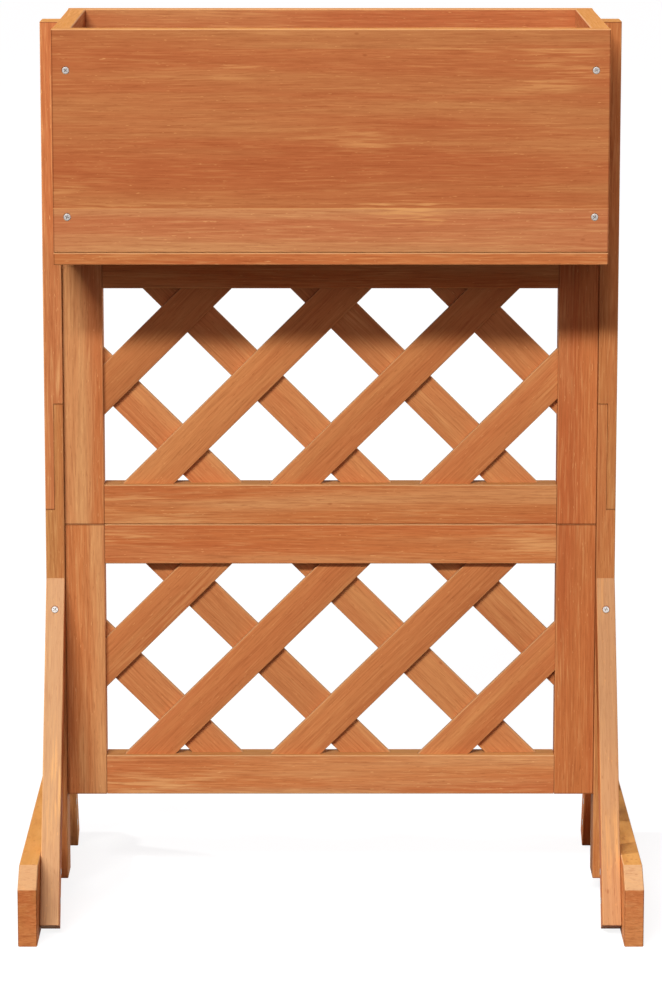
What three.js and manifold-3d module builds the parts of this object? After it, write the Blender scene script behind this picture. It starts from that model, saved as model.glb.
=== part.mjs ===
// A planter box carried by two posts, with two trellis panels under it and a foot and two braces
// at each post. Millimetres, +Z up, the front towards -Y, origin on the floor under the middle.
import * as THREE from "three";
import { mergeVertices } from "three/addons/utils/BufferGeometryUtils.js";
import Module from "manifold-3d";

// ---------------------------------------------------------------- driving dimensions

const fit = 0.3; // gap left between timber that touches
const easing = 0.8; // chamfer along the long edges of the timber

// Posts
const clearWidth = 528.8; // between the posts
const postThickness = 18.5;
const postDepth = 38.4;
const postLift = 15; // clear of the floor
const postDrop = 2; // below the box's rim
const lapFoot = 394; // height of the half lap's lower shoulder
const lapLength = 107;

// Trellis panels
const trellisLift = 101; // floor to the lower panel
const panelHeight = 277.2;
const panelThickness = 25;
const stileWidth = 39.2;
const railWidth = 39.9;
const tenonThickness = 8;
const tenonLength = 20;
const tenonShoulder = 6; // above and below the tenon

// Slats: a layer of them leans to the right in front, and its mirror image stands behind
const slatWidth = 36;
const slatThickness = 6;
const slatEasing = 0.4;
const slatHousing = 6; // depth of the slats' ends in the frame
const slatLean = THREE.MathUtils.degToRad(45);
const firstSlatInset = 100.1; // from the corner that the first slat stands nearest to
const lastSlatInset = 113.6; // from the corner that the last slat stands nearest to
const slatNudges = [2.9, -3.5, -1.9, 2.4]; // how far each slat stands off an even spacing

// Planter box
const boxDepth = 263;
const wallHeight = 212.6;
const faceThickness = 16; // front and back boards
const sideThickness = 17.8;
const floorThickness = 12;
const floorBoards = 3;
const drainGap = 5;

// Feet and braces
const footLength = 388;
const footHeight = 74.4;
const footThickness = 18.6;
const footChamferRise = 17.8;
const footChamferRun = 25.6;
const braceThickness = 26;
const braceLean = THREE.MathUtils.degToRad(24.9);
const braceLift = 1.2; // its lower inner corner clears the floor
const braceTop = 325; // height where the brace's outer face runs out on the post

// Screws
const screwSides = 14;
const headRadius = 3.6;
const headDepth = 2;
const headRim = 0.4;
const shankRadius = 1.9;
const pointLength = 5;
const recessSpan = 4.4; // cross recess
const recessWidth = 1;
const recessDepth = 1.3;
const wallScrewLength = 40;
const wallScrewDrop = 39; // below the rim
const wallScrewRise = 34; // above the walls' lower edge
const wallScrewShare = 0.25; // across the side board, from its inner face
const braceScrewLength = 35;
const braceScrewDrop = 32; // down the brace's face from its tip
const footScrewLength = 32;
const footScrewRise = 28; // lower screw above the floor
const footScrewPitch = 28; // between the two screws, up the post
const footScrewStagger = 8; // each side of the post's middle
const lapScrewLength = 16;

// ---------------------------------------------------------------- derived places

const postInner = clearWidth / 2;
const postOuter = postInner + postThickness;
const trellisTop = trellisLift + 2 * panelHeight;
const wallFoot = trellisTop + floorThickness;
const rim = wallFoot + wallHeight;
const postTop = rim - postDrop;
const frameHalf = postInner - fit; // half width of the box and of the panels
const boxHalf = boxDepth / 2;

// ---------------------------------------------------------------- solids

const wasm = await Module();
wasm.setup();

function solidOf(geometry) {
  const bare = geometry.clone();
  bare.deleteAttribute("normal");
  bare.deleteAttribute("uv");
  const merged = mergeVertices(bare, 1e-4);
  const corners = Array.from(merged.index.array);
  const triVerts = [];
  for (let i = 0; i < corners.length; i += 3) {
    const [a, b, c] = corners.slice(i, i + 3);
    if (a !== b && b !== c && c !== a) triVerts.push(a, b, c);
  }
  return new wasm.Manifold(
    new wasm.Mesh({
      numProp: 3,
      vertProperties: merged.attributes.position.array,
      triVerts: new Uint32Array(triVerts),
    }),
  );
}

function geometryOf(solid) {
  const mesh = solid.getMesh();
  const geometry = new THREE.BufferGeometry();
  geometry.setAttribute("position", new THREE.BufferAttribute(mesh.vertProperties, 3));
  geometry.setIndex(new THREE.BufferAttribute(mesh.triVerts, 1));
  geometry.computeVertexNormals();
  return geometry;
}

// Adds, subtracts or intersects a piece with a tool. Both stand at their own places in one frame.
function work(piece, action, tool) {
  piece.updateWorldMatrix(true, false);
  tool.updateWorldMatrix(true, false);
  const toPiece = piece.matrixWorld.clone().invert().multiply(tool.matrixWorld);
  const shape = tool.geometry.clone().applyMatrix4(toPiece);
  piece.geometry = geometryOf(solidOf(piece.geometry)[action](solidOf(shape)));
}

function mesh(name, geometry, look) {
  const made = new THREE.Mesh(geometry, new THREE.MeshStandardMaterial(look));
  made.name = name;
  return made;
}

// A block with plain edges, centred on its own origin, used to cut, trim or join.
function block(x, y, z) {
  return new THREE.Mesh(new THREE.BoxGeometry(x, y, z));
}

// Turns a shape drawn across a length of timber, so that its length runs along X, Y or Z.
function alongAxis(geometry, axis) {
  const units = [new THREE.Vector3(1, 0, 0), new THREE.Vector3(0, 1, 0), new THREE.Vector3(0, 0, 1)];
  const turn = new THREE.Matrix4();
  turn.makeBasis(units[(axis + 1) % 3], units[(axis + 2) % 3], units[axis]);
  return geometry.applyMatrix4(turn);
}

// Planed timber with its four long edges eased. It is centred on its own origin.
function timber(size, axis, ease = easing) {
  const halfA = size[(axis + 1) % 3] / 2;
  const halfB = size[(axis + 2) % 3] / 2;
  const section = new THREE.Shape();
  section.moveTo(-halfA + ease, -halfB);
  section.lineTo(halfA - ease, -halfB);
  section.lineTo(halfA, -halfB + ease);
  section.lineTo(halfA, halfB - ease);
  section.lineTo(halfA - ease, halfB);
  section.lineTo(-halfA + ease, halfB);
  section.lineTo(-halfA, halfB - ease);
  section.lineTo(-halfA, -halfB + ease);
  section.closePath();
  const drawn = new THREE.ExtrudeGeometry(section, { depth: size[axis], bevelEnabled: false });
  drawn.translate(0, 0, -size[axis] / 2);
  return alongAxis(drawn, axis);
}

// A board between two opposite corners, with its grain along axis 0, 1 or 2.
function board(name, axis, low, high, look) {
  const size = high.map((value, i) => value - low[i]);
  const made = mesh(name, timber(size, axis), look);
  made.position.fromArray(high.map((value, i) => (value + low[i]) / 2));
  return made;
}

// ---------------------------------------------------------------- finishes

const boxWood = { color: 0xb9723f, roughness: 0.62, metalness: 0 };
const postWood = { color: 0xc07a45, roughness: 0.62, metalness: 0 };
const frameWood = { color: 0xbb7441, roughness: 0.62, metalness: 0 };
const slatWood = { color: 0xb46c3b, roughness: 0.66, metalness: 0 };
const baseWood = { color: 0xc88a58, roughness: 0.62, metalness: 0 };
const screwSteel = { color: 0xb9bcc0, roughness: 0.3, metalness: 1 };

// ---------------------------------------------------------------- screws

// A countersunk screw along Z with its head's face at z = 0. A hole is the same shape, grown.
function screwForm(length, grow) {
  const above = grow > 0 ? headDepth : 0; // a hole opens past the face it is cut in
  const profile = [
    new THREE.Vector2(0, -length - grow),
    new THREE.Vector2(shankRadius + grow, -length + pointLength),
    new THREE.Vector2(shankRadius + grow, -headDepth),
    new THREE.Vector2(headRadius + grow, -headRim),
    new THREE.Vector2(headRadius + grow, above),
    new THREE.Vector2(0, above),
  ];
  return new THREE.LatheGeometry(profile, screwSides).rotateX(Math.PI / 2);
}

// Drives a screw at a point on a face, with the head facing out, through the pieces given.
function driveScrew(parent, name, length, point, outward, pieces) {
  const screw = mesh(name, screwForm(length, 0), screwSteel);
  const hole = new THREE.Mesh(screwForm(length, fit));
  for (const item of [screw, hole]) {
    item.position.copy(point);
    item.quaternion.setFromUnitVectors(new THREE.Vector3(0, 0, 1), outward);
  }
  for (const span of [
    [recessSpan, recessWidth],
    [recessWidth, recessSpan],
  ]) {
    const bit = block(span[0], span[1], 2 * recessDepth);
    bit.position.copy(point);
    bit.quaternion.copy(screw.quaternion);
    work(screw, "subtract", bit);
  }
  for (const piece of pieces) work(piece, "subtract", hole);
  parent.add(screw);
}

// ---------------------------------------------------------------- planter box

function makeBox() {
  const box = new THREE.Group();
  const wallInner = boxHalf - faceThickness;
  const sideInner = frameHalf - sideThickness;
  const walls = {};
  const sides = {};
  for (const [end, way] of [["front", -1], ["back", 1]]) {
    const [near, far] = way < 0 ? [-boxHalf, -wallInner] : [wallInner, boxHalf];
    walls[end] = board(`${end}_board`, 0, [-frameHalf, near, wallFoot], [frameHalf, far, rim], boxWood);
    box.add(walls[end]);
  }
  for (const [hand, way] of [["left", -1], ["right", 1]]) {
    const [near, far] = way < 0 ? [-frameHalf, -sideInner] : [sideInner, frameHalf];
    const low = [near, -wallInner + fit, wallFoot];
    const high = [far, wallInner - fit, rim];
    sides[hand] = board(`side_board_${hand}`, 1, low, high, boxWood);
    box.add(sides[hand]);
  }

  const floorDepth = (boxDepth - (floorBoards - 1) * drainGap) / floorBoards;
  for (let i = 0; i < floorBoards; i += 1) {
    const near = -boxHalf + i * (floorDepth + drainGap);
    const low = [-frameHalf, near, trellisTop];
    const high = [frameHalf, near + floorDepth, wallFoot - fit];
    box.add(board(`floor_board_${i + 1}`, 0, low, high, boxWood));
  }

  const screwX = sideInner + wallScrewShare * sideThickness;
  for (const [end, outward] of [["front", -1], ["back", 1]])
    for (const [hand, way] of [["left", -1], ["right", 1]])
      for (const [level, height] of [["upper", rim - wallScrewDrop], ["lower", wallFoot + wallScrewRise]]) {
        const point = new THREE.Vector3(way * screwX, outward * boxHalf, height);
        const axis = new THREE.Vector3(0, outward, 0);
        const name = `${end}_screw_${hand}_${level}`;
        driveScrew(box, name, wallScrewLength, point, axis, [walls[end], sides[hand]]);
      }
  return box;
}

// ---------------------------------------------------------------- posts

// The upper piece's outer half runs down over the lower piece's inner half.
function makePost(hand, way) {
  const post = new THREE.Group();
  const across = (a, b) => [Math.min(way * a, way * b), Math.max(way * a, way * b)];
  const [near, far] = across(postInner, postOuter);
  const halfDepth = postDepth / 2;
  const lapTop = lapFoot + lapLength;
  const lapFace = postInner + postThickness / 2;

  const upper = board(
    `post_upper_${hand}`, 2, [near, -halfDepth, lapFoot + fit], [far, halfDepth, postTop], postWood,
  );
  const lower = board(
    `post_lower_${hand}`, 2, [near, -halfDepth, postLift], [far, halfDepth, lapTop], postWood,
  );
  const upperWaste = block(postThickness, 2 * postDepth, lapLength + fit);
  upperWaste.position.set(way * (lapFace + fit / 2 - postThickness / 2), 0, lapFoot + (lapLength + fit) / 2);
  work(upper, "subtract", upperWaste);
  const lowerWaste = block(postThickness, 2 * postDepth, lapLength);
  lowerWaste.position.set(way * (lapFace - fit / 2 + postThickness / 2), 0, lapFoot + lapLength / 2);
  work(lower, "subtract", lowerWaste);
  post.add(upper, lower);

  const middle = new THREE.Vector3(way * postOuter, 0, lapFoot + lapLength / 2);
  const outward = new THREE.Vector3(way, 0, 0);
  driveScrew(post, `lap_screw_${hand}`, lapScrewLength, middle, outward, [upper, lower]);
  return { post, lower };
}

// ---------------------------------------------------------------- trellis panels

function makePanel(level) {
  const panel = new THREE.Group();
  const half = panelThickness / 2;
  const openHalf = frameHalf - stileWidth;
  const openHeight = panelHeight - fit - 2 * railWidth;
  const panelTop = panelHeight - fit;
  const middle = panelTop / 2;

  const frame = [];
  for (const [hand, way] of [["left", -1], ["right", 1]]) {
    const [near, far] = way < 0 ? [-frameHalf, -openHalf] : [openHalf, frameHalf];
    frame.push(board(`${level}_stile_${hand}`, 2, [near, -half, 0], [far, half, panelTop], frameWood));
  }
  for (const [place, foot] of [["top", panelTop - railWidth], ["bottom", 0]]) {
    const low = [-openHalf + fit, -half, foot];
    const high = [openHalf - fit, half, foot + railWidth];
    const rail = board(`${level}_rail_${place}`, 0, low, high, frameWood);
    const tenonHeight = railWidth - 2 * tenonShoulder;
    const tenon = block(2 * (openHalf + tenonLength), tenonThickness, tenonHeight);
    tenon.position.copy(rail.position);
    work(rail, "add", tenon);
    const mortise = block(
      2 * (openHalf + tenonLength + fit), tenonThickness + 2 * fit, tenonHeight + 2 * fit,
    );
    mortise.position.copy(rail.position);
    for (const stile of frame.slice(0, 2)) work(stile, "subtract", mortise);
    frame.push(rail);
  }

  const slatReach = (openHeight + 2 * slatHousing) / Math.cos(slatLean) + 2 * slatWidth;
  const openRun = openHeight * Math.tan(slatLean);
  const firstFoot = -openHalf - openRun + firstSlatInset;
  const lastFoot = openHalf - lastSlatInset;
  const pitch = (lastFoot - firstFoot) / (slatNudges.length - 1);
  const slats = [];
  for (const [layer, way] of [["front", 1], ["back", -1]])
    slatNudges.forEach((nudge, i) => {
      const foot = firstFoot + i * pitch + nudge;
      const place = new THREE.Vector3(way * (foot + openRun / 2), (-way * slatThickness) / 2, middle);
      const shapes = [0, fit].map((grow) => {
        const size = [slatWidth + 2 * grow, slatThickness - fit + 2 * grow, slatReach];
        const shape = mesh(`${level}_slat_${layer}_${i + 1}`, timber(size, 2, slatEasing), slatWood);
        shape.position.copy(place);
        shape.rotation.y = way * slatLean;
        const reach = 2 * (slatHousing + grow);
        const housing = block(2 * openHalf + reach, panelThickness, openHeight + reach);
        housing.position.z = middle;
        work(shape, "intersect", housing);
        return shape;
      });
      slats.push(shapes[0]);
      for (const member of frame) work(member, "subtract", shapes[1]);
    });
  panel.add(...frame, ...slats);
  return panel;
}

// ---------------------------------------------------------------- feet and braces

function makeFoot(hand, way, lowerPost) {
  const foot = new THREE.Group();
  const half = footLength / 2;
  const outline = new THREE.Shape();
  outline.moveTo(-half, 0);
  outline.lineTo(half, 0);
  outline.lineTo(half, footHeight - footChamferRise);
  outline.lineTo(half - footChamferRun, footHeight);
  outline.lineTo(-half + footChamferRun, footHeight);
  outline.lineTo(-half, footHeight - footChamferRise);
  outline.closePath();
  const drawn = new THREE.ExtrudeGeometry(outline, {
    depth: footThickness - 2 * easing,
    bevelThickness: easing,
    bevelSize: easing,
    bevelOffset: -easing,
    bevelSegments: 1,
  });
  drawn.translate(0, 0, easing - footThickness / 2);
  const plank = mesh(`foot_${hand}`, alongAxis(drawn, 0), baseWood);
  plank.position.x = way * (postOuter + fit + footThickness / 2);
  foot.add(plank);

  const outward = new THREE.Vector3(way, 0, 0);
  for (const [level, i] of [["lower", 0], ["upper", 1]]) {
    const point = new THREE.Vector3(
      way * (postOuter + fit + footThickness),
      (2 * i - 1) * footScrewStagger,
      footScrewRise + i * footScrewPitch,
    );
    driveScrew(foot, `foot_screw_${hand}_${level}`, footScrewLength, point, outward, [plank, lowerPost]);
  }
  return foot;
}

// The brace leans on the post's face: its upper end is cut to a wedge there, and its lower end is
// square, with the inner corner just clear of the floor beside the foot.
function makeBrace(end, side, hand, way, lowerPost) {
  const brace = new THREE.Group();
  const halfWidth = braceThickness / 2;
  const face = postDepth / 2 + fit;
  const footZ = braceLift + halfWidth * Math.sin(braceLean);
  const outerCornerZ = footZ + halfWidth * Math.sin(braceLean);
  const outerCornerY = face + (braceTop - outerCornerZ) * Math.tan(braceLean);
  const footY = outerCornerY - halfWidth * Math.cos(braceLean);
  const length = (braceTop - footZ) / Math.cos(braceLean) + 2 * braceThickness;

  const strut = mesh(`brace_${end}_${hand}`, timber([postThickness, braceThickness, length], 2), baseWood);
  strut.rotation.x = side * braceLean;
  const upward = new THREE.Vector3(0, -side * Math.sin(braceLean), Math.cos(braceLean));
  strut.position.set(way * (postInner + postThickness / 2), side * footY, footZ);
  strut.position.addScaledVector(upward, length / 2);
  const beyond = block(2 * postThickness, 4 * postDepth, 2 * length);
  beyond.position.set(strut.position.x, side * (face - 2 * postDepth), braceTop);
  work(strut, "subtract", beyond);
  brace.add(strut);

  const point = new THREE.Vector3(strut.position.x, side * face, braceTop);
  point.addScaledVector(upward, -braceScrewDrop);
  const outward = new THREE.Vector3(0, side * Math.cos(braceLean), Math.sin(braceLean));
  const name = `brace_screw_${end}_${hand}`;
  driveScrew(brace, name, braceScrewLength, point, outward, [strut, lowerPost]);
  return brace;
}

// ---------------------------------------------------------------- assembly

const planter = new THREE.Group();
planter.name = "planter_with_trellis";
planter.add(makeBox());

["lower", "upper"].forEach((level, i) => {
  const panel = makePanel(level);
  panel.position.z = trellisLift + i * panelHeight;
  planter.add(panel);
});

for (const [hand, way] of [["left", -1], ["right", 1]]) {
  const { post, lower } = makePost(hand, way);
  planter.add(post, makeFoot(hand, way, lower));
  for (const [end, side] of [["front", -1], ["back", 1]])
    planter.add(makeBrace(end, side, hand, way, lower));
}

export default planter;
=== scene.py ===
from math import cos, pi, radians, sin, sqrt, tan

import bmesh
import bpy
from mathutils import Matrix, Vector


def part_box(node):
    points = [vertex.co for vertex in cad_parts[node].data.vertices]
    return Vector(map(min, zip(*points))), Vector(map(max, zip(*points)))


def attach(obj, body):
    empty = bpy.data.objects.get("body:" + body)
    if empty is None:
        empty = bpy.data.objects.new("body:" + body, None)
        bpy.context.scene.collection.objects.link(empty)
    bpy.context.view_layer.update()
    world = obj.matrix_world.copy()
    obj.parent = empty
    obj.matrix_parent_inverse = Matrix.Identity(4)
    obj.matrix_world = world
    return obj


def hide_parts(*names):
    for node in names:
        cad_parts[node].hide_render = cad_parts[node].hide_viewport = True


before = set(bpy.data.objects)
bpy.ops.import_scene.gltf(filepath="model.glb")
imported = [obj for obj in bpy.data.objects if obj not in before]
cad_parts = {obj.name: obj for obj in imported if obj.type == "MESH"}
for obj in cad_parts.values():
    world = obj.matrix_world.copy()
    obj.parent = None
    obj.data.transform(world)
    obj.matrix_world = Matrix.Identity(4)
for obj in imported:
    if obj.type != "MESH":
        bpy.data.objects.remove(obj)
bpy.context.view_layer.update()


# ---------------------------------------------------------------- Posts
# Each post is two lengths of planed fir, half lapped and screwed where the two trellis panels meet.
# The timber is 38 by 18 mm, dipped in an orange-brown stain that leaves the grain to be seen.
# Its long edges are eased, and a thin dark line runs round its sawn ends.

mm = 0.001
along_x = Vector((1, 0, 0))
along_y = Vector((0, 1, 0))
along_z = Vector((0, 0, 1))


def colour(red, green, blue):
    """A colour as it is seen, 0 to 255 each, as the linear values that a shader takes."""
    parts = [part / 255 for part in (red, green, blue)]
    linear = [part / 12.92 if part < 0.04045 else ((part + 0.055) / 1.055) ** 2.4 for part in parts]
    return (*linear, 1)


def add_node(tree, kind, feeds=None, **options):
    """Adds a node with these options, and links or sets the inputs that feeds names."""
    made = tree.nodes.new(kind)
    for option, value in options.items():
        setattr(made, option, value)
    for socket, value in (feeds or {}).items():
        if isinstance(value, bpy.types.NodeSocket):
            tree.links.new(value, made.inputs[socket])
        else:
            made.inputs[socket].default_value = value
    return made


def maths(tree, operation, *values):
    return add_node(tree, "ShaderNodeMath", dict(enumerate(values)), operation=operation).outputs[0]


def product(tree, first, *factors):
    """The product of values, at least the first of them from a node."""
    for factor in factors:
        first = maths(tree, "MULTIPLY", first, factor)
    return first


def vector_maths(tree, operation, *values):
    made = add_node(tree, "ShaderNodeVectorMath", dict(enumerate(values)), operation=operation)
    return made.outputs["Value" if operation == "LENGTH" else "Vector"]


def parts_of(tree, vector):
    """The three parts of a vector."""
    return add_node(tree, "ShaderNodeSeparateXYZ", {0: vector}).outputs


def noise(tree, place, per_metre, detail=2.0, roughness=0.5):
    """Noise of about that many ups and downs per metre along, across and through the board."""
    scaled = vector_maths(tree, "MULTIPLY", place, per_metre)
    feeds = {"Vector": scaled, "Scale": 1.0, "Detail": detail, "Roughness": roughness}
    return add_node(tree, "ShaderNodeTexNoise", feeds).outputs[0]


def between(tree, value, low, high):
    """0 at low, 1 at high, and a smooth step between them. Low may be the larger of the two."""
    feeds = {"Value": value, "From Min": low, "From Max": high}
    return add_node(tree, "ShaderNodeMapRange", feeds, interpolation_type="SMOOTHSTEP").outputs[0]


def mix_colours(tree, share, first, second, blend="MIX"):
    feeds = {0: share, 6: first, 7: second}
    return add_node(tree, "ShaderNodeMix", feeds, data_type="RGBA", blend_type=blend).outputs[2]


def new_group(name, kind, inputs, outputs):
    """A node group with these named sockets, and its two ends."""
    tree = bpy.data.node_groups.new(name, kind)
    for socket, socket_type in inputs.items():
        tree.interface.new_socket(socket, in_out="INPUT", socket_type=socket_type)
    for socket, socket_type in outputs.items():
        tree.interface.new_socket(socket, in_out="OUTPUT", socket_type=socket_type)
    return tree, tree.nodes.new("NodeGroupInput").outputs, tree.nodes.new("NodeGroupOutput").inputs


def ring_lines(tree, place, along):
    """Growth rings: circles about a heart that lies outside the board, so they run on round its ends."""
    heart = (0, -190 * mm, -50 * mm)
    rings_per_metre = 260
    changes_per_metre = 2.5
    from_heart = vector_maths(tree, "SUBTRACT", place, heart)
    radius = vector_maths(tree, "LENGTH", vector_maths(tree, "MULTIPLY", from_heart, (0, 1, 1)))
    ring_feeds = {
        "X": maths(tree, "MULTIPLY", along, changes_per_metre),
        "Y": maths(tree, "MULTIPLY", radius, rings_per_metre),
    }
    ring_point = add_node(tree, "ShaderNodeCombineXYZ", ring_feeds).outputs[0]
    line_feeds = {"Vector": ring_point, "Scale": 1.0, "Detail": 2.0}
    return add_node(tree, "ShaderNodeTexNoise", line_feeds).outputs[0]


def pin_knots(tree, place):
    """A mask of small knots: some of the cells have one in their middle."""
    knot_place = vector_maths(tree, "MULTIPLY", place, (6, 11, 0))
    cell_feeds = {"Vector": knot_place, "Scale": 1.0}
    cells = add_node(tree, "ShaderNodeTexVoronoi", cell_feeds, voronoi_dimensions="2D")
    chosen = add_node(tree, "ShaderNodeSeparateColor", {0: cells.outputs["Color"]}).outputs[0]
    spot = between(tree, cells.outputs["Distance"], 0.02, 0.005)
    return product(tree, spot, between(tree, chosen, 0.7, 0.72))


def make_fir_group():
    """Stained fir, from a place in metres: along the board's fibre, across it and through its thickness."""
    tree, given, result = new_group(
        "Stained fir", "ShaderNodeTree",
        {
            "Place": "NodeSocketVector", "Half Size": "NodeSocketVector", "Board": "NodeSocketFloat",
            "Orange": "NodeSocketColor", "Red": "NodeSocketColor", "Honey": "NodeSocketColor",
            "Cream": "NodeSocketColor", "Umber": "NodeSocketColor", "Bleached": "NodeSocketColor",
            "Golden": "NodeSocketColor", "Pale": "NodeSocketFloat", "Cream Amount": "NodeSocketFloat",
            "Grain Depth": "NodeSocketFloat", "Through": "NodeSocketFloat",
        },
        {"Colour": "NodeSocketColor", "Roughness": "NodeSocketFloat", "Height": "NodeSocketFloat"},
    )
    umber, cream = given["Umber"], given["Cream"]

    # Each board comes from another stretch of the tree.
    stretch = vector_maths(tree, "MULTIPLY", given["Board"], (3.13, 1.71, 2.37))
    in_tree = vector_maths(tree, "ADD", given["Place"], stretch)
    # The fibres wander a few millimetres sideways as they run along the board.
    wander = maths(tree, "SUBTRACT", noise(tree, in_tree, (2.2, 9, 9)), 0.5)
    sideways = vector_maths(tree, "MULTIPLY", wander, (0, 12 * mm, 7 * mm))
    fibre_place = vector_maths(tree, "ADD", in_tree, sideways)
    # A board that is sawn square to the rings shows straight lines right through its thickness.
    squeeze = add_node(tree, "ShaderNodeCombineXYZ", {"X": 1.0, "Y": 1.0, "Z": given["Through"]}).outputs[0]
    fibre_place = vector_maths(tree, "MULTIPLY", fibre_place, squeeze)
    rings = ring_lines(tree, vector_maths(tree, "ADD", given["Place"], sideways), parts_of(tree, in_tree)[0])

    bands = noise(tree, in_tree, (1.3, 19, 19), 1.5)
    honey_bands = noise(tree, vector_maths(tree, "ADD", in_tree, (7, 3, 5)), (1.8, 34, 34))
    fibres = noise(tree, fibre_place, (26, 620, 620), 2.0, 0.55)
    hairs = noise(tree, fibre_place, (75, 1250, 1250), 1.0)
    ticks = between(tree, noise(tree, fibre_place, (110, 800, 800), 1.0), 0.66, 0.76)
    speck_place = vector_maths(tree, "ADD", fibre_place, (3, 9, 1))
    specks = between(tree, noise(tree, speck_place, (130, 900, 900)), 0.68, 0.76)
    cream_patch = between(tree, noise(tree, fibre_place, (4.5, 34, 34), 2.5, 0.6), 0.56, 0.7)
    cream_streak = between(tree, noise(tree, fibre_place, (22, 420, 420)), 0.42, 0.62)
    tone = add_node(tree, "ShaderNodeTexWhiteNoise", {"W": given["Board"]}, noise_dimensions="1D").outputs[0]

    # Broad bands of orange, red and honey.
    shade = mix_colours(tree, between(tree, bands, 0.4, 0.66), given["Orange"], given["Red"])
    shade = mix_colours(tree, between(tree, honey_bands, 0.44, 0.7), shade, given["Honey"])
    # Painted light: faces that look up take a paler colour, a painted sheen and brighter light from above,
    # and flat tops a golden one, painted top light.
    facing = add_node(tree, "ShaderNodeTexCoord").outputs["Normal"]
    upright = parts_of(tree, facing)[2]
    painted_up_light_share = maths(tree, "MULTIPLY", between(tree, upright, 0.05, 0.45), 0.9)
    top = mix_colours(tree, between(tree, upright, 0.82, 0.97), given["Bleached"], given["Golden"])
    shade = mix_colours(tree, painted_up_light_share, shade, top)

    # The grain: rings, dark and light fibres, hairs, resin and short flecks. It is shallower where the
    # painted light of faces that look up lies.
    depth = product(tree, given["Grain Depth"], maths(tree, "MULTIPLY_ADD", painted_up_light_share, -0.5, 1.0))
    shade = mix_colours(tree, product(tree, between(tree, rings, 0.4, 0.68), depth, 0.45), shade, umber)
    shade = mix_colours(tree, product(tree, between(tree, fibres, 0.5, 0.76), depth), shade, umber)
    shade = mix_colours(tree, product(tree, between(tree, fibres, 0.5, 0.26), depth, 0.75), shade, cream)
    shade = mix_colours(tree, product(tree, between(tree, hairs, 0.52, 0.72), depth, 0.6), shade, umber)
    resin = product(tree, cream_patch, cream_streak, given["Cream Amount"])
    shade = mix_colours(tree, resin, shade, cream)
    shade = mix_colours(tree, product(tree, ticks, 0.3), shade, umber)
    shade = mix_colours(tree, product(tree, specks, 0.55), shade, cream)
    shade = mix_colours(tree, product(tree, pin_knots(tree, in_tree), 0.4), shade, umber)

    # Long edges are painted paler: rubbed-off stain and a painted highlight along their rounding. Near the
    # sawn ends the wood is a little darker, with a thin dark line round them, fainter where faces look up.
    size = parts_of(tree, given["Half Size"])
    at = parts_of(tree, vector_maths(tree, "ABSOLUTE", given["Place"]))
    inset = [maths(tree, "SUBTRACT", size[axis], at[axis]) for axis in range(3)]
    edge = between(tree, maths(tree, "ADD", inset[1], inset[2]), 1.6 * mm, 0.5 * mm)
    shade = mix_colours(tree, product(tree, edge, 0.22), shade, cream)
    end = between(tree, inset[0], 2.5 * mm, 0.2 * mm)
    shade = mix_colours(tree, product(tree, end, 0.06), shade, umber)
    near_end = between(tree, inset[0], 1.3 * mm, 0.7 * mm)
    off_end = between(tree, inset[0], 0.03 * mm, 0.12 * mm)
    line_share = maths(tree, "MULTIPLY_ADD", painted_up_light_share, -0.8, 0.5)
    line_brown = (0.1, 0.022, 0.008, 1)
    shade = mix_colours(tree, product(tree, near_end, off_end, line_share), shade, line_brown)

    # No two boards are equally bright, and each is made paler by a given amount, less on faces that look up.
    brightness = maths(tree, "MULTIPLY_ADD", tone, 0.08, 0.96)
    shade = mix_colours(tree, 1.0, shade, brightness, "MULTIPLY")
    pale = product(tree, given["Pale"], maths(tree, "MULTIPLY_ADD", painted_up_light_share, -0.7, 1.0))
    paler = mix_colours(tree, pale, (1, 1, 1, 1), (1.26, 1.55, 1.85, 1))
    shade = mix_colours(tree, 1.0, shade, paler, "MULTIPLY")

    grain_height = maths(tree, "MULTIPLY_ADD", fibres, 0.7, maths(tree, "MULTIPLY", hairs, 0.3))
    tree.links.new(shade, result["Colour"])
    tree.links.new(maths(tree, "MULTIPLY_ADD", fibres, 0.22, 0.4), result["Roughness"])
    tree.links.new(grain_height, result["Height"])
    return tree


fir = make_fir_group()


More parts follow.
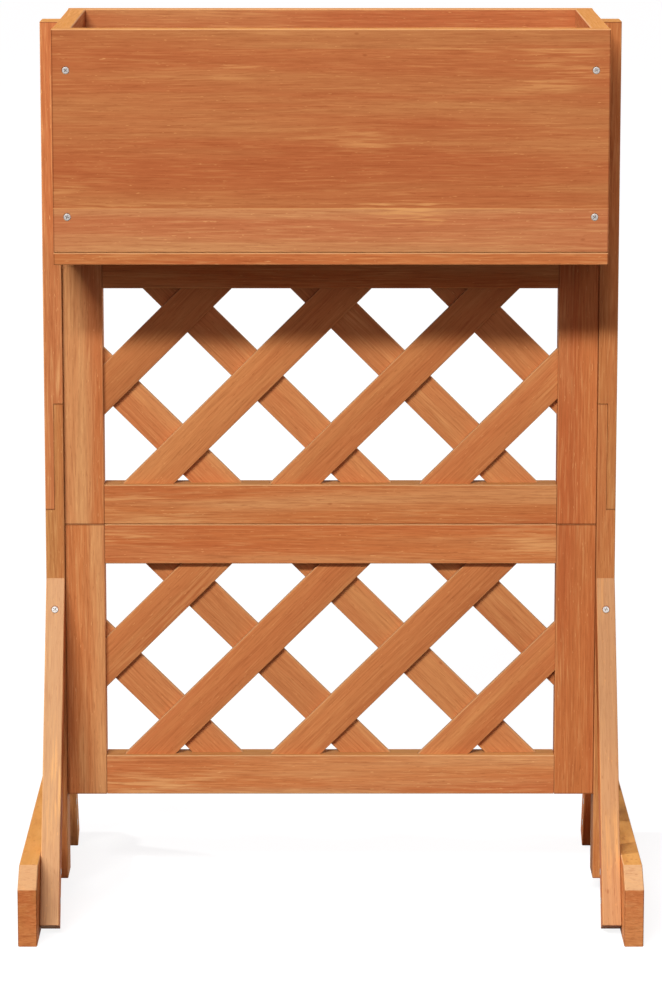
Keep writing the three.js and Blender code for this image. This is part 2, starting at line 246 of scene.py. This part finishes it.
def make_wood(name, board_shift=0.0, cream=0.8, depth=0.4, through=1.0, joints=None, **tints):
    """A finish of stained fir. joints are the heights of a glued board's two glue lines above its edge."""
    wood = bpy.data.materials.new(name)
    wood.use_nodes = True
    tree = wood.node_tree
    shader = tree.nodes["Principled BSDF"]
    place = add_node(tree, "ShaderNodeAttribute", attribute_name="place").outputs["Vector"]
    half_size = add_node(tree, "ShaderNodeAttribute", attribute_name="half_size").outputs["Vector"]
    board = add_node(tree, "ShaderNodeAttribute", attribute_name="board").outputs["Fac"]
    board = maths(tree, "ADD", board, board_shift)
    pale = add_node(tree, "ShaderNodeAttribute", attribute_name="pale").outputs["Fac"]
    if joints:
        line_feeds = {
            "Place": place, "Half Size": half_size, "Lower Joint": joints[0], "Upper Joint": joints[1],
            "Patch Middle": (68 * mm, -66 * mm, 0),
        }
        lines = add_node(tree, "ShaderNodeGroup", line_feeds, node_tree=glued_strips)
        board = maths(tree, "ADD", board, lines.outputs["Strip"])
        pale = maths(tree, "MULTIPLY_ADD", lines.outputs["Pale"], 0.6, pale)
    # Of these tints, those for faces that look up, sloping and flat, are painted sheen and painted top light.
    tinted = {
        "Orange": colour(190, 110, 59), "Red": colour(183, 97, 52), "Honey": colour(196, 126, 69),
        "Cream": colour(222, 162, 100), "Umber": colour(140, 68, 33), "Bleached": colour(193, 146, 102),
        "Golden": colour(196, 134, 62), **tints,
    }
    look_feeds = {
        "Place": place, "Half Size": half_size, "Board": board, "Pale": pale, "Cream Amount": cream,
        "Grain Depth": depth, "Through": through, **tinted,
    }
    look = add_node(tree, "ShaderNodeGroup", look_feeds, node_tree=fir)
    shown = look.outputs["Colour"]
    if joints:
        for mask, share in (("Line", 0.5), ("Patch", 0.75)):
            shown = mix_colours(tree, product(tree, lines.outputs[mask], share), shown, tinted["Cream"])
    tree.links.new(shown, shader.inputs["Base Color"])
    tree.links.new(look.outputs["Roughness"], shader.inputs["Roughness"])
    bump = add_node(tree, "ShaderNodeBump", {"Height": look.outputs["Height"], "Distance": 0.12 * mm})
    tree.links.new(bump.outputs["Normal"], shader.inputs["Normal"])
    shader.inputs["Specular IOR Level"].default_value = 0.01
    return wood


def mark_points(mesh, name, values):
    """Stores a number or a vector on each point of the mesh, for its material to read."""
    if isinstance(values[0], (int, float)):
        marks = mesh.attributes.new(name, "FLOAT", "POINT")
        marks.data.foreach_set("value", values)
    else:
        marks = mesh.attributes.new(name, "FLOAT_VECTOR", "POINT")
        marks.data.foreach_set("vector", [part for value in values for part in value])


def tidy_faces(shape):
    """Melts edges of no length and faces of no area, and leaves the shape closed."""
    no_length = 0.002 * mm
    bmesh.ops.remove_doubles(shape, verts=shape.verts, dist=no_length)
    bmesh.ops.dissolve_degenerate(shape, dist=no_length, edges=shape.edges)


def round_edges(node):
    """A mesh like the CAD node's, its sharp edges rounded."""
    same_point, rounding = 0.02 * mm, 0.35 * mm
    flat, sharp = radians(1), radians(25)
    shape = bmesh.new()
    shape.from_mesh(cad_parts[node].data)
    bmesh.ops.remove_doubles(shape, verts=shape.verts, dist=same_point)
    bmesh.ops.dissolve_limit(shape, angle_limit=flat, verts=shape.verts, edges=shape.edges)
    corners = [edge for edge in shape.edges if edge.calc_face_angle(0) > sharp]
    bmesh.ops.bevel(
        shape, geom=corners, offset=rounding, segments=2, profile=0.5, affect="EDGES", clamp_overlap=True,
    )
    tidy_faces(shape)
    board = bpy.data.meshes.new(node + "_board")
    shape.to_mesh(board)
    shape.free()
    board.shade_smooth()
    # A point's normal follows the largest faces around it, so the wide faces look flat.
    weighted = [Vector() for _ in board.vertices]
    for polygon in board.polygons:
        for vertex in polygon.vertices:
            weighted[vertex] += polygon.normal * polygon.area
    board.normals_split_custom_set_from_vertices([normal.normalized() for normal in weighted])
    return board


boards_made = 0


def finish_board(node, fibre, face, wood, pale=0.0):
    """Makes the finished board of a CAD node, its fibre along one way and its wide face another."""
    global boards_made
    boards_made += 1
    board = round_edges(node)
    ways = (fibre, fibre.cross(face), face)
    spots = [[vertex.co.dot(way) for way in ways] for vertex in board.vertices]
    lows = [min(spot[axis] for spot in spots) for axis in range(3)]
    highs = [max(spot[axis] for spot in spots) for axis in range(3)]
    middle = [(low + high) / 2 for low, high in zip(lows, highs)]
    half_size = [(high - low) / 2 for low, high in zip(lows, highs)]
    mark_points(board, "place", [[spot[axis] - middle[axis] for axis in range(3)] for spot in spots])
    mark_points(board, "half_size", [half_size for _ in spots])
    mark_points(board, "board", [boards_made for _ in spots])
    mark_points(board, "pale", [pale for _ in spots])
    board.materials.append(wood)
    piece = bpy.data.objects.new(node + "_wood", board)
    bpy.context.scene.collection.objects.link(piece)
    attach(piece, "root")
    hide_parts(node)


post_wood = make_wood(
    "Post fir", cream=0.5,
    Orange=colour(186, 111, 60), Red=colour(181, 103, 57), Honey=colour(192, 127, 71),
)
for level, side, pale in (
    ("lower", "left", 0.4), ("upper", "left", 0.85), ("lower", "right", 0.4), ("upper", "right", 0.45),
):
    finish_board(f"post_{level}_{side}", along_z, along_y, post_wood, pale)


# ---------------------------------------------------------------- Trellis frames
# Each of the two panels has two stiles and two rails of 25 mm fir, stub tenoned together.
# The frames stand one on the other between the posts and are screwed to them.

# Its tint for flat tops is painted top light.
frame_wood = make_wood(
    "Frame fir", board_shift=40, cream=0.45, depth=0.36,
    Honey=colour(202, 136, 82), Golden=colour(190, 132, 74),
)
for level in ("lower", "upper"):
    for side, pale in (("left", 0.6), ("right", 0.4)):
        finish_board(f"{level}_stile_{side}", along_z, along_y, frame_wood, pale)
for level, end, pale in (
    ("lower", "bottom", 0.7), ("lower", "top", 0.35), ("upper", "bottom", 0.4), ("upper", "top", 0.1),
):
    finish_board(f"{level}_rail_{end}", along_x, along_y, frame_wood, pale)


# ---------------------------------------------------------------- Trellis slats
# Thin planed laths in two layers, the front ones leaning right and the back ones left.
# Each lath's ends are cut along the frame and sit in its groove. The laths lie on each other.

diagonal = sqrt(2)


def make_slat_tree():
    """Geometry Nodes: one slat for each point, whose X is where its middle line crosses height 0."""
    names = (
        "Width", "Thickness", "Rounding", "Half Opening", "Foot", "Head", "Layer", "Lean", "First Board",
        "Pale",
    )
    tree, given, result = new_group(
        "Leaning slats", "GeometryNodeTree",
        {
            "Crossings": "NodeSocketGeometry", **{name: "NodeSocketFloat" for name in names},
            "Wood": "NodeSocketMaterial",
        },
        {"Slats": "NodeSocketGeometry"},
    )

    def store(geometry, name, value, data_type):
        feeds = {"Geometry": geometry, "Name": name, "Value": value}
        return add_node(tree, "GeometryNodeStoreNamedAttribute", feeds, data_type=data_type).outputs[0]

    def stored(name, data_type):
        made = add_node(tree, "GeometryNodeInputNamedAttribute", {"Name": name}, data_type=data_type)
        return made.outputs[0]

    def combine(x, y, z):
        return add_node(tree, "ShaderNodeCombineXYZ", {"X": x, "Y": y, "Z": z}).outputs[0]

    # A slat's section is a rounded rectangle, swept along a plain line from 0 to 1.
    outline = {"Width": given["Width"], "Height": given["Thickness"]}
    section = add_node(tree, "GeometryNodeCurvePrimitiveQuadrilateral", outline).outputs[0]
    rounded = {"Curve": section, "Radius": given["Rounding"], "Count": 3}
    section = add_node(tree, "GeometryNodeFilletCurve", rounded, mode="POLY").outputs[0]
    here = add_node(tree, "GeometryNodeInputPosition").outputs[0]
    section = store(section, "section", here, "FLOAT_VECTOR")
    ends = {"Start": (0, 0, 0), "End": (0, 0, 1)}
    line = add_node(tree, "GeometryNodeCurvePrimitiveLine", ends).outputs[0]
    share = add_node(tree, "GeometryNodeSplineParameter").outputs["Factor"]
    line = store(line, "share", share, "FLOAT")
    swept = {"Curve": line, "Profile Curve": section, "Fill Caps": True}
    lath = add_node(tree, "GeometryNodeCurveToMesh", swept).outputs[0]

    points = store(given["Crossings"], "crossing", here, "FLOAT_VECTOR")
    index = add_node(tree, "GeometryNodeInputIndex").outputs[0]
    points = store(points, "board", maths(tree, "ADD", index, given["First Board"]), "FLOAT")
    laths = add_node(tree, "GeometryNodeInstanceOnPoints", {"Points": points, "Instance": lath}).outputs[0]
    laths = add_node(tree, "GeometryNodeRealizeInstances", {"Geometry": laths}).outputs[0]

    # At 45 degrees a step across the slat moves its line sideways by the square root of two.
    across, through, _ = parts_of(tree, stored("section", "FLOAT_VECTOR"))
    crossing = parts_of(tree, stored("crossing", "FLOAT_VECTOR"))[0]
    line_at = maths(tree, "MULTIPLY_ADD", across, diagonal, crossing)
    # The line runs from the opening's foot or near side to its head or far side.
    near_side = maths(tree, "SUBTRACT", maths(tree, "MULTIPLY", given["Half Opening"], -1), line_at)
    start = maths(tree, "MAXIMUM", given["Foot"], near_side)
    stop = maths(tree, "MINIMUM", given["Head"], maths(tree, "SUBTRACT", given["Half Opening"], line_at))
    rise = maths(tree, "SUBTRACT", stop, start)
    height = maths(tree, "MULTIPLY_ADD", rise, stored("share", "FLOAT"), start)
    sideways = maths(tree, "ADD", height, line_at)
    position = combine(
        maths(tree, "MULTIPLY", sideways, given["Lean"]), maths(tree, "ADD", given["Layer"], through), height,
    )
    along = maths(tree, "DIVIDE", maths(tree, "ADD", sideways, height), diagonal)
    laths = store(laths, "place", combine(along, across, through), "FLOAT_VECTOR")
    laths = store(laths, "pale", given["Pale"], "FLOAT")
    # The cut ends are hidden in the frame: a metre as half the length keeps the end line off them.
    half_length = 1.0
    half_width = maths(tree, "DIVIDE", given["Width"], 2)
    half_thickness = maths(tree, "DIVIDE", given["Thickness"], 2)
    laths = store(laths, "half_size", combine(half_length, half_width, half_thickness), "FLOAT_VECTOR")
    placed = {"Geometry": laths, "Position": position}
    laths = add_node(tree, "GeometryNodeSetPosition", placed).outputs[0]
    stained = {"Geometry": laths, "Material": given["Wood"]}
    laths = add_node(tree, "GeometryNodeSetMaterial", stained).outputs[0]
    tree.links.new(laths, result["Slats"])
    return tree


def plain_mesh(piece):
    """The piece's mesh with its modifiers worked in."""
    return bpy.data.meshes.new_from_object(piece.evaluated_get(bpy.context.evaluated_depsgraph_get()))


def grow(name, points, tree, settings, marks=None):
    """Runs a Geometry Nodes tree on loose points and keeps the result as a plain mesh."""
    seeds = bpy.data.meshes.new(name)
    seeds.from_pydata(points, [], [])
    for mark, values in (marks or {}).items():
        mark_points(seeds, mark, values)
    piece = bpy.data.objects.new(name, seeds)
    bpy.context.scene.collection.objects.link(piece)
    modifier = piece.modifiers.new("Grow", "NODES")
    modifier.node_group = tree
    for socket in tree.interface.items_tree:
        if socket.in_out == "INPUT" and socket.name in settings:
            modifier[socket.identifier] = settings[socket.name]
    grown = plain_mesh(piece)
    piece.modifiers.clear()
    shape = bmesh.new()
    shape.from_mesh(grown)
    tidy_faces(shape)
    bmesh.ops.recalc_face_normals(shape, faces=shape.faces)
    shape.to_mesh(grown)
    shape.free()
    piece.data = grown
    return piece


slat_wood = make_wood(
    "Slat fir", board_shift=80, cream=0.35, depth=0.3,
    Orange=colour(196, 122, 71), Red=colour(194, 116, 67), Honey=colour(200, 131, 77),
)
slat_tree = make_slat_tree()
slat_rounding = 0.9 * mm
for level in ("lower", "upper"):
    for layer, lean, pale in (("front", 1, 0.05), ("back", -1, 0.22)):
        nodes = [f"{level}_slat_{layer}_{count}" for count in (1, 2, 3, 4)]
        boxes = [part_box(node) for node in nodes]
        crossings = []
        for node in nodes:
            lines = [vertex.co.x * lean - vertex.co.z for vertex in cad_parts[node].data.vertices]
            crossings.append(((min(lines) + max(lines)) / 2, 0, 0))
            width = (max(lines) - min(lines)) / diagonal
        near, far = boxes[0][0].y, boxes[0][1].y
        settings = {
            "Width": width, "Thickness": far - near, "Rounding": slat_rounding,
            "Half Opening": max(high.x for _, high in boxes), "Foot": min(low.z for low, _ in boxes),
            "Head": max(high.z for _, high in boxes), "Layer": (near + far) / 2, "Lean": float(lean),
            "First Board": float(boards_made + 1), "Pale": pale, "Wood": slat_wood,
        }
        slats = grow(f"{level}_slats_{layer}", crossings, slat_tree, settings)
        boards_made += len(nodes)
        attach(slats, "root")
        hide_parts(*nodes)


# ---------------------------------------------------------------- Feet and braces
# The feet are long boards on edge outside the posts, their upper corners cut off at both ends.
# A flat brace runs down from the front and from the back of each post to the foot.

# Its tints for the sloping chamfers and the flat tops are painted sheen and painted top light.
foot_wood = make_wood(
    "Foot fir", board_shift=120, cream=0.3, through=0.2, Orange=colour(202, 126, 71),
    Red=colour(194, 112, 61), Bleached=colour(195, 153, 109), Golden=colour(201, 146, 77),
)
for side, pale in (("left", 0.1), ("right", 0.4)):
    finish_board(f"foot_{side}", along_y, along_x, foot_wood, pale)

brace_wood = make_wood("Brace fir", board_shift=140, cream=0.8)
brace_lean = radians(24.9)
for end, way in (("front", -1), ("back", 1)):
    down_the_brace = Vector((0, way * sin(brace_lean), -cos(brace_lean)))
    square_to_it = down_the_brace.cross(along_x)
    # The left braces are given far more paleness than the right: a painted highlight where the key lamp's
    # reflection falls.
    for side, pale in (("left", 0.9), ("right", 0.1)):
        finish_board(f"brace_{end}_{side}", down_the_brace, square_to_it, brace_wood, pale)


# ---------------------------------------------------------------- Planter box
# The walls are boards glued up from strips, so thin joint lines run along them.
# Front and back cover the ends of the side boards. Three floor boards leave gaps for water.

def make_strip_group():
    """The strips of a glued board: which strip a place is in, and the thin line where two meet."""
    tree, given, result = new_group(
        "Glued strips", "ShaderNodeTree",
        {
            "Place": "NodeSocketVector", "Half Size": "NodeSocketVector", "Lower Joint": "NodeSocketFloat",
            "Upper Joint": "NodeSocketFloat", "Patch Middle": "NodeSocketVector",
        },
        {
            "Strip": "NodeSocketFloat", "Line": "NodeSocketFloat", "Pale": "NodeSocketFloat",
            "Patch": "NodeSocketFloat",
        },
    )
    from_edge = vector_maths(tree, "ADD", given["Place"], given["Half Size"])
    height = parts_of(tree, from_edge)[1]
    from_middle = parts_of(tree, given["Place"])[0]
    strip, line = 0.0, 0.0
    # The lower line runs along the whole board, and the upper one is only seen towards one end.
    before_the_board, near_the_middle, fade = -9.0, 20 * mm, 120 * mm
    for joint, fades_from in (("Lower Joint", before_the_board), ("Upper Joint", near_the_middle)):
        above = maths(tree, "SUBTRACT", height, given[joint])
        strip = maths(tree, "ADD", strip, maths(tree, "GREATER_THAN", above, 0.0))
        drawn = between(tree, maths(tree, "ABSOLUTE", above), 0.9 * mm, 0.3 * mm)
        drawn = product(tree, drawn, between(tree, from_middle, fades_from, fades_from + fade))
        line = maths(tree, "MAXIMUM", line, drawn)
    # The lines come and go along the board, and the lowest strip is a paler one.
    patches = add_node(tree, "ShaderNodeTexNoise", {"Vector": given["Place"], "Scale": 9.0}).outputs[0]
    line = product(tree, line, between(tree, patches, 0.3, 0.6))
    # Each strip comes from another stretch of the tree.
    step_in_tree = 7.3
    tree.links.new(maths(tree, "MULTIPLY", strip, step_in_tree), result["Strip"])
    tree.links.new(line, result["Line"])
    tree.links.new(between(tree, strip, 1.0, 0.0), result["Pale"])
    # In one place the wood is resinous, and the stain took hold in streaks only.
    patch_half_length, patch_half_height = 60 * mm, 18 * mm
    from_patch = vector_maths(tree, "SUBTRACT", given["Place"], given["Patch Middle"])
    from_patch = vector_maths(tree, "MULTIPLY", from_patch, (1 / patch_half_length, 1 / patch_half_height, 0))
    rough_edge = maths(tree, "SUBTRACT", noise(tree, given["Place"], (30, 160, 160)), 0.5)
    distance = maths(tree, "MULTIPLY_ADD", rough_edge, 1.6, vector_maths(tree, "LENGTH", from_patch))
    streaks = between(tree, noise(tree, given["Place"], (24, 330, 330)), 0.42, 0.64)
    tree.links.new(product(tree, between(tree, distance, 1.0, 0.2), streaks), result["Patch"])
    return tree


glued_strips = make_strip_group()
wall_wood = make_wood(
    "Wall fir", board_shift=163, cream=0.45, depth=0.3, joints=(42.2 * mm, 194 * mm),
    Orange=colour(184, 110, 65), Red=colour(179, 101, 59), Honey=colour(188, 123, 74),
)
for node, fibre, face, pale in (
    ("front_board", along_x, along_y, 0.0), ("back_board", along_x, along_y, 0.25),
    ("side_board_left", along_y, -along_x, 0.1), ("side_board_right", along_y, -along_x, 0.1),
):
    finish_board(node, fibre, face, wall_wood, pale)
floor_wood = make_wood("Floor fir", board_shift=200, cream=0.6)
for count in (1, 2, 3):
    finish_board(f"floor_board_{count}", along_x, along_z, floor_wood, 0.35)


# ---------------------------------------------------------------- Screws
# Zinc-plated countersunk wood screws with a cross recess, driven just flush with the wood.
# Those of the walls, braces, feet and laps are nodes of the solid model.

head_radius = 3.3 * mm
crown = 0.25 * mm


def make_zinc():
    """Bright zinc: a soft metal, clouded and a little dulled."""
    zinc = bpy.data.materials.new("Zinc")
    zinc.use_nodes = True
    tree = zinc.node_tree
    shader = tree.nodes["Principled BSDF"]
    here = add_node(tree, "ShaderNodeTexCoord").outputs["Object"]
    cloud = add_node(tree, "ShaderNodeTexNoise", {"Vector": here, "Scale": 900.0, "Detail": 2.0}).outputs[0]
    tint = mix_colours(tree, cloud, colour(150, 146, 142), colour(192, 186, 180))
    tree.links.new(tint, shader.inputs["Base Color"])
    tree.links.new(maths(tree, "MULTIPLY_ADD", cloud, 0.2, 0.5), shader.inputs["Roughness"])
    shader.inputs["Metallic"].default_value = 0.6
    return zinc


def make_screw(name, length):
    """A countersunk screw that points down from the origin, its crowned head at height 0."""
    sides = 28
    shank, tip = 1.9 * mm, 0.2 * mm
    head_edge, head_depth, point = 0.4 * mm, 2.4 * mm, 5 * mm
    profile = [
        (head_radius - 0.5 * mm, crown), (head_radius, 0.0), (head_radius, -head_edge),
        (shank, -head_depth), (shank, point - length), (tip, -length),
    ]
    shape = bmesh.new()
    rings = []
    for radius, height in profile:
        ring = []
        for step in range(sides):
            turn = 2 * pi * step / sides
            ring.append(shape.verts.new((radius * cos(turn), radius * sin(turn), height)))
        rings.append(ring)
    for upper, lower in zip(rings, rings[1:]):
        for step in range(sides):
            after = (step + 1) % sides
            shape.faces.new((upper[step], lower[step], lower[after], upper[after]))
    shape.faces.new(rings[0])
    shape.faces.new(list(reversed(rings[-1])))
    bmesh.ops.recalc_face_normals(shape, faces=shape.faces)
    mesh = bpy.data.meshes.new(name)
    shape.to_mesh(mesh)
    shape.free()
    screw = bpy.data.objects.new(name, mesh)
    bpy.context.scene.collection.objects.link(screw)
    return screw


def cut_recess(screw, reach, width, depth):
    """Cuts a tapering cross into the screw's head."""
    above_head = 1 * mm
    for turn in (0, pi / 2):
        cutter = bmesh.new()
        bmesh.ops.create_cube(cutter, size=1)
        for vertex in cutter.verts:
            deep = vertex.co.z < 0
            x = vertex.co.x * reach * (0.55 if deep else 1)
            y = vertex.co.y * width * (0.6 if deep else 1)
            height = -depth if deep else above_head
            vertex.co = (x * cos(turn) - y * sin(turn), x * sin(turn) + y * cos(turn), height)
        mesh = bpy.data.meshes.new("Recess")
        cutter.to_mesh(mesh)
        cutter.free()
        tool = bpy.data.objects.new("Recess", mesh)
        bpy.context.scene.collection.objects.link(tool)
        cut = screw.modifiers.new("Cut", "BOOLEAN")
        cut.object = tool
        cut.operation = "DIFFERENCE"
        cut.solver = "EXACT"
        mesh = plain_mesh(screw)
        screw.modifiers.clear()
        screw.data = mesh
        bpy.data.objects.remove(tool)


def make_screw_tree():
    """Geometry Nodes: a screw at each point, facing the point's aim, its recess turned at random."""
    tree, given, result = new_group(
        "Driven screws", "GeometryNodeTree",
        {
            "Places": "NodeSocketGeometry", "Screw": "NodeSocketObject", "Seed": "NodeSocketInt",
            "Metal": "NodeSocketMaterial",
        },
        {"Screws": "NodeSocketGeometry"},
    )
    read_aim = add_node(tree, "GeometryNodeInputNamedAttribute", {"Name": "aim"}, data_type="FLOAT_VECTOR")
    aim = read_aim.outputs[0]
    facing = add_node(tree, "FunctionNodeAlignRotationToVector", {"Vector": aim}, axis="Z").outputs[0]
    angle = add_node(tree, "FunctionNodeRandomValue", {"Seed": given["Seed"]}, data_type="FLOAT")
    turn = maths(tree, "MULTIPLY", angle.outputs[1], 2 * pi)
    spin = add_node(tree, "FunctionNodeAxisAngleToRotation", {"Axis": (0, 0, 1), "Angle": turn}).outputs[0]
    set_so = {"Rotation": facing, "Rotate By": spin}
    facing = add_node(tree, "FunctionNodeRotateRotation", set_so, rotation_space="LOCAL").outputs[0]
    source = add_node(tree, "GeometryNodeObjectInfo", {"Object": given["Screw"]}).outputs["Geometry"]
    feeds = {"Points": given["Places"], "Instance": source, "Rotation": facing}
    driven = add_node(tree, "GeometryNodeInstanceOnPoints", feeds).outputs[0]
    driven = add_node(tree, "GeometryNodeRealizeInstances", {"Geometry": driven}).outputs[0]
    plated = {"Geometry": driven, "Material": given["Metal"]}
    driven = add_node(tree, "GeometryNodeSetMaterial", plated).outputs[0]
    tree.links.new(driven, result["Screws"])
    return tree


zinc = make_zinc()
screw_tree = make_screw_tree()


def drive_screws(name, length, spots, replaced=(), proud=0.3 * mm):
    """spots are pairs of the head's middle and the way that it faces. proud is how far it stands out."""
    spots = [(Vector(place) + Vector(aim) * (proud - crown), aim) for place, aim in spots]
    pattern = make_screw(name + "_pattern", length)
    cut_recess(pattern, reach=4.4 * mm, width=1 * mm, depth=1.5 * mm)
    settings = {"Screw": pattern, "Seed": 3, "Metal": zinc}
    marks = {"aim": [aim for _, aim in spots]}
    screws = grow(name, [place for place, _ in spots], screw_tree, settings, marks)
    bpy.data.objects.remove(pattern)
    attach(screws, "root")
    if replaced:
        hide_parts(*replaced)


def head_of(node, aim):
    """The middle of a CAD screw's head, which is its end towards aim."""
    rim_depth = 0.05 * mm
    points = [vertex.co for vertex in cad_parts[node].data.vertices]
    reach = max(point.dot(aim) for point in points)
    rim = [point for point in points if point.dot(aim) > reach - rim_depth]
    return sum(rim, Vector()) / len(rim)


def drive_nodes(name, length, aims, proud):
    """Drives a screw in the place of each CAD screw. aims gives each node the way that its head faces."""
    spots = [(head_of(node, aim), aim) for node, aim in aims.items()]
    drive_screws(name, length, spots, list(aims), proud)


wall_aims, brace_aims, side_aims = {}, {}, {}
for end, way in (("front", -1), ("back", 1)):
    for side in ("left", "right"):
        for level in ("upper", "lower"):
            wall_aims[f"{end}_screw_{side}_{level}"] = Vector((0, way, 0))
        brace_aims[f"brace_screw_{end}_{side}"] = Vector((0, way * cos(brace_lean), sin(brace_lean)))
for side, way in (("left", -1), ("right", 1)):
    for node in (f"foot_screw_{side}_lower", f"foot_screw_{side}_upper", f"lap_screw_{side}"):
        side_aims[node] = Vector((way, 0, 0))
drive_nodes("wall_screws", 40 * mm, wall_aims, proud=0.2 * mm)
drive_nodes("brace_screws", 35 * mm, brace_aims, proud=0.2 * mm)
drive_nodes("side_screws", 16 * mm, side_aims, proud=0.0)

# The others are only here: box to posts, posts to panels, braces to feet, and floor boards to side boards.
posts_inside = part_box("post_lower_right")[0].x
posts_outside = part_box("post_lower_right")[1].x
box_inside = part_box("side_board_right")[0].x
box_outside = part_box("side_board_right")[1].x
brace_top_height, brace_top_depth = 296 * mm, 12 * mm
box_screw_heights, box_screw_depth = (722 * mm, 838 * mm), 10 * mm
panel_screw_heights = (160 * mm, 340 * mm, 540 * mm, 630 * mm)
foot_screw_heights = (28 * mm, 54 * mm)
floor_screw_depth = 25 * mm
post_spots, panel_spots, base_spots, floor_spots = [], [], [], []
for way in (-1, 1):
    for height in box_screw_heights:
        for depth in (-box_screw_depth, box_screw_depth):
            post_spots.append(((way * box_inside, depth, height), (-way, 0, 0)))
    for height in panel_screw_heights:
        panel_spots.append(((way * posts_outside, 0, height), (way, 0, 0)))
    for end in (-1, 1):
        for height in foot_screw_heights:
            depth = brace_top_depth + tan(brace_lean) * (brace_top_height - height)
            base_spots.append(((way * posts_inside, end * depth, height), (-way, 0, 0)))
    for count in (1, 2, 3):
        near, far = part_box(f"floor_board_{count}")
        for depth in (-floor_screw_depth, floor_screw_depth):
            place = (way * (box_inside + box_outside) / 2, (near.y + far.y) / 2 + depth, near.z)
            floor_spots.append((place, (0, 0, -1)))
drive_screws("box_to_post_screws", 30 * mm, post_spots)
drive_screws("post_to_panel_screws", 38 * mm, panel_spots)
drive_screws("brace_to_foot_screws", 30 * mm, base_spots)
drive_screws("floor_screws", 32 * mm, floor_spots)


# ---------------------------------------------------------------- Floor, light and camera
# A plain pale floor and soft studio light: a wide key lamp in front, a lamp from the left side,
# a low one behind on the right, weak ones in front and overhead, and an even sky.

floor_half = 20.0
floor_mesh = bpy.data.meshes.new("Floor")
corners = [(x * floor_half, y * floor_half, 0) for x, y in ((-1, -1), (1, -1), (1, 1), (-1, 1))]
floor_mesh.from_pydata(corners, [], [(0, 1, 2, 3)])
floor = bpy.data.objects.new("Floor", floor_mesh)
bpy.context.scene.collection.objects.link(floor)


def seen_directly(tree):
    """1 for the rays that show the background: from the camera, in gloss and through glass."""
    rays = add_node(tree, "ShaderNodeLightPath").outputs
    seen = maths(tree, "MAXIMUM", rays["Is Camera Ray"], rays["Is Glossy Ray"])
    return maths(tree, "MAXIMUM", seen, rays["Is Transmission Ray"])


# The floor lights the object like a grey one, but it is seen as white with a faint shadow.
floor_paint = bpy.data.materials.new("Floor")
floor_paint.use_nodes = True
tree = floor_paint.node_tree
tree.nodes.clear()
real = add_node(tree, "ShaderNodeBsdfDiffuse", {"Color": (0.12, 0.12, 0.12, 1)}).outputs[0]
faint = add_node(tree, "ShaderNodeBsdfDiffuse", {"Color": (0.2, 0.2, 0.2, 1)}).outputs[0]
glow = add_node(tree, "ShaderNodeEmission", {"Color": (1, 1, 1, 1), "Strength": 0.87}).outputs[0]
white = add_node(tree, "ShaderNodeAddShader", {0: faint, 1: glow}).outputs[0]
shown = add_node(tree, "ShaderNodeMixShader", {0: seen_directly(tree), 1: real, 2: white}).outputs[0]
add_node(tree, "ShaderNodeOutputMaterial", {"Surface": shown})
floor_mesh.materials.append(floor_paint)

sky = bpy.data.worlds.new("Sky")
bpy.context.scene.world = sky
sky.use_nodes = True
tree = sky.node_tree
tree.nodes.clear()
even = add_node(tree, "ShaderNodeBackground", {"Color": (1, 0.64, 0.74, 1), "Strength": 0.155}).outputs[0]
white = add_node(tree, "ShaderNodeBackground", {"Color": (1, 1, 1, 1), "Strength": 1.0}).outputs[0]
shown = add_node(tree, "ShaderNodeMixShader", {0: seen_directly(tree), 1: even, 2: white}).outputs[0]
add_node(tree, "ShaderNodeOutputWorld", {"Surface": shown})

middle_height = 500 * mm


def hang_lamp(name, kind, energy, shining, distance=0.0, aim_depth=0.0, **options):
    """A lamp that shines that way from that distance, at a point aim_depth behind the object's middle."""
    light = bpy.data.lights.new(name, kind)
    light.energy = energy
    for option, value in options.items():
        setattr(light, option, value)
    lamp = bpy.data.objects.new(name, light)
    way = Vector(shining).normalized()
    lamp.location = Vector((0, aim_depth, middle_height)) - way * distance
    lamp.rotation_euler = way.to_track_quat("-Z", "Y").to_euler()
    bpy.context.scene.collection.objects.link(lamp)


# The key is a wide strip: shadows of upright edges are very soft, those of level edges less so.
hang_lamp(
    "Key", "AREA", energy=985.0, shining=(0.28, 1.0, -0.77), distance=10.0,
    shape="RECTANGLE", size=4.4, size_y=0.9,
)
hang_lamp("Side light", "SUN", energy=0.6 * pi, shining=(1.0, 0.02, -0.9), angle=radians(4))
hang_lamp("Back light", "SUN", energy=0.36 * pi, shining=(-0.85, -0.55, -0.13), angle=radians(15))
hang_lamp(
    "Fill", "AREA", energy=72.0, shining=(-0.1, 1.0, -0.35), distance=8.3,
    shape="SQUARE", size=3.0, color=(1, 0.84, 0.92),
)
hang_lamp(
    "Overhead", "AREA", energy=25.0, shining=(0, 0, -1), distance=4.5, aim_depth=-0.5,
    shape="SQUARE", size=4.0,
)

# The photograph keeps its uprights parallel with a large lens shift, which would push the object out
# of every other view. The camera looks down at it instead, with a small shift.
long_side = 982
focal_pixels = 3889
looks_down = radians(9.707)
view = bpy.data.cameras.new("Camera")
view.sensor_width = 36
view.lens = view.sensor_width * focal_pixels / long_side
view.shift_x = 0.0087
view.shift_y = -0.12
view.clip_end = 100
camera = bpy.data.objects.new("Camera", view)
camera.location = (-8 * mm, -3800 * mm, 1178.5 * mm)
camera.rotation_euler = (pi / 2 - looks_down, 0, 0)
bpy.context.scene.collection.objects.link(camera)
bpy.context.scene.camera = camera
bpy.context.scene.view_settings.view_transform = "Standard"
